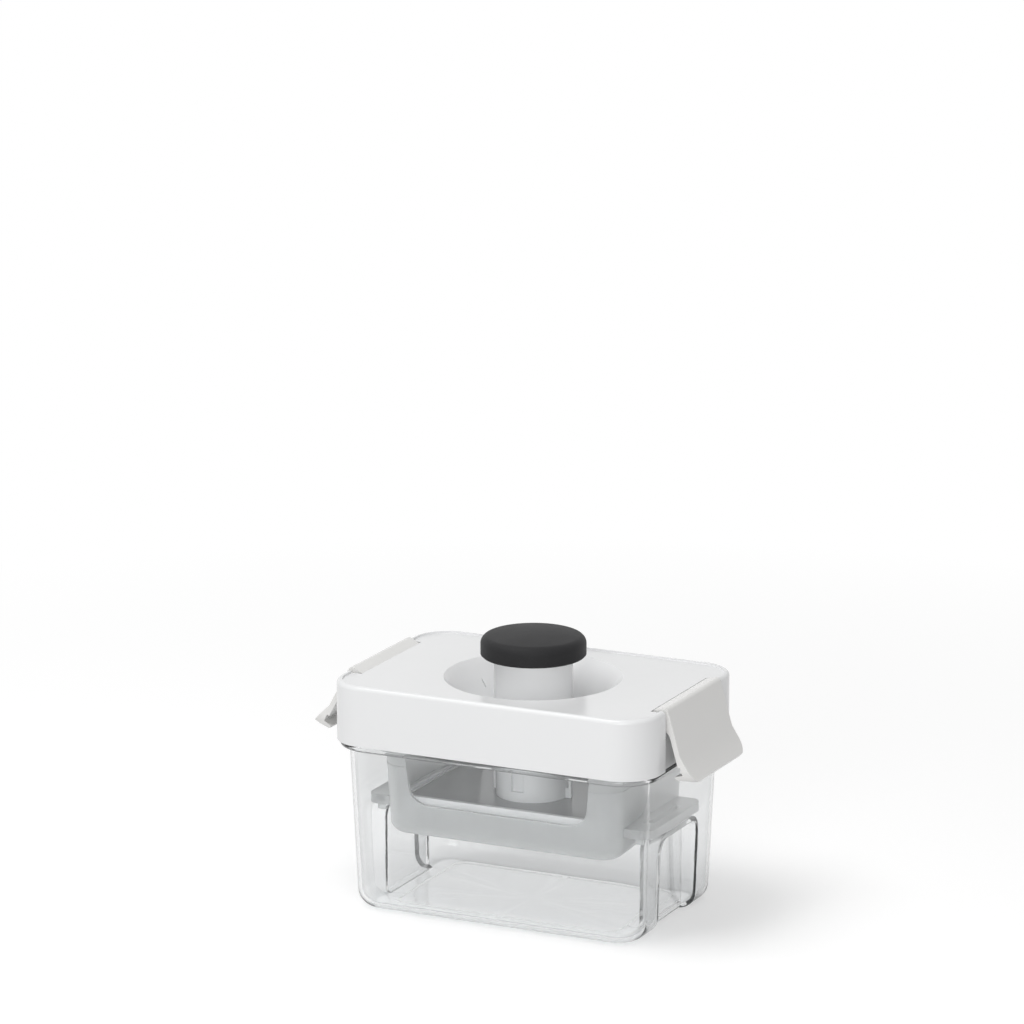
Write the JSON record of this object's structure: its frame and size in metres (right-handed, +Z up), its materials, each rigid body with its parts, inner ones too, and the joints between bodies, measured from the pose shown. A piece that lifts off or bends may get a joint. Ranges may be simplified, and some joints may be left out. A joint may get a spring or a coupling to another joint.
{
  "type": "tofu press",
  "caption": "Tofu press: clear tub, strainer basket hung on end ledges, latched lid with a sprung round plunger and a flat press plate.",
  "frame": {"origin": "middle of the container's flat base, on the surface that it stands on", "axes": "+Z up; +X along the length, towards the end whose latch is half open; -Y is the front long side"},
  "size_m": [0.2256, 0.127, 0.1502],
  "materials": {
    "clear_plastic": "crystal clear moulded plastic, polished",
    "frosted_plastic": "frosted translucent moulded plastic with glossy edges",
    "white_plastic": "gloss white moulded plastic",
    "latch_plastic": "gloss white moulded plastic, slightly warmer than the lid",
    "pin_steel": "drawn stainless wire",
    "black_grip": "charcoal soft-touch elastomer, fine grain",
    "seat_plastic": "plain moulded plastic",
    "spring_steel": "stainless spring wire",
    "grey_plastic": "glossy mid-grey moulded plastic"
  },
  "bodies": {
    "container": {"container": "clear_plastic"},
    "basket": {"basket": "frosted_plastic"},
    "lid": {"lid_shell": "white_plastic", "guide_collar": "white_plastic", "latch_pin_left": "pin_steel", "latch_pin_right": "pin_steel"},
    "left_latch": {"latch_left": "latch_plastic"},
    "right_latch": {"latch_right": "latch_plastic"},
    "knob": {"knob_grip": "black_grip", "knob_stem": "white_plastic", "spring_seat": "seat_plastic", "spring": "spring_steel"},
    "plunger": {"press_tube": "white_plastic", "press_plate": "white_plastic", "plate_pad": "grey_plastic"}
  },
  "joints": [
    {"name": "basket_lift", "type": "slide", "parent": "container", "child": "basket", "axis": [0, 0, 1], "range_m": [0, 0.1]},
    {"name": "lid_lift", "type": "slide", "parent": "basket", "child": "lid", "axis": [0, 0, 1], "range_m": [0, 0.191]},
    {"name": "left_latch_swing", "type": "hinge", "parent": "lid", "child": "left_latch", "pos_m": [-0.0886, 0, 0.1235], "axis": [0, 1, 0], "range_deg": [-29, 0]},
    {"name": "right_latch_swing", "type": "hinge", "parent": "lid", "child": "right_latch", "pos_m": [0.0886, 0, 0.1235], "axis": [0, -1, 0], "range_deg": [-16, 13]},
    {"name": "knob_press", "type": "slide", "parent": "lid", "child": "knob", "axis": [0, 0, 1], "range_m": [-0.012, 0]},
    {"name": "plate_slide", "type": "slide", "parent": "knob", "child": "plunger", "axis": [0, 0, -1], "range_m": [-0.0275, 0], "stiffness_N_per_m": 1500, "springref_m": 0.02, "deforming": ["spring"]}
  ]
}
